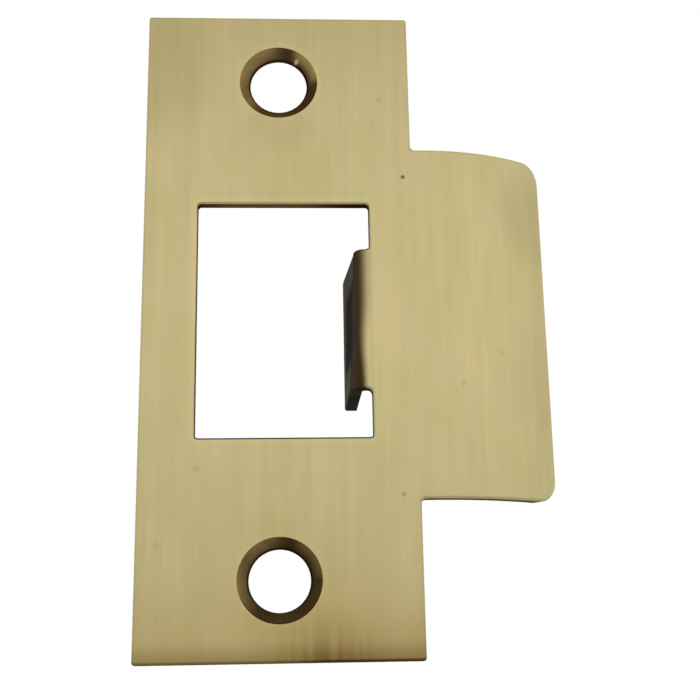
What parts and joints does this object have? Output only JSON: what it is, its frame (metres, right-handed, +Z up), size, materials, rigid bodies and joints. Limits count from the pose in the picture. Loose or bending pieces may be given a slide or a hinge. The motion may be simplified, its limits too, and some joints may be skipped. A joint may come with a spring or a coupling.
{
  "type": "door strike plate",
  "caption": "Flat brass strike plate with countersunk screw holes, a rectangular latch window with a tang bent back at its side, and a curved lip that leads the latch in.",
  "frame": {"origin": "middle of the screw hole pattern, in the plane of the back face that lies against the door frame", "axes": "+Z up along the plate, +X towards the lip, +Y into the door frame, so that the front faces -Y"},
  "size_m": [0.0432, 0.0113, 0.0698],
  "materials": {
    "brass": "satin brushed, antique"
  },
  "bodies": {
    "root": {"strike_plate": "brass"}
  },
  "joints": []
}
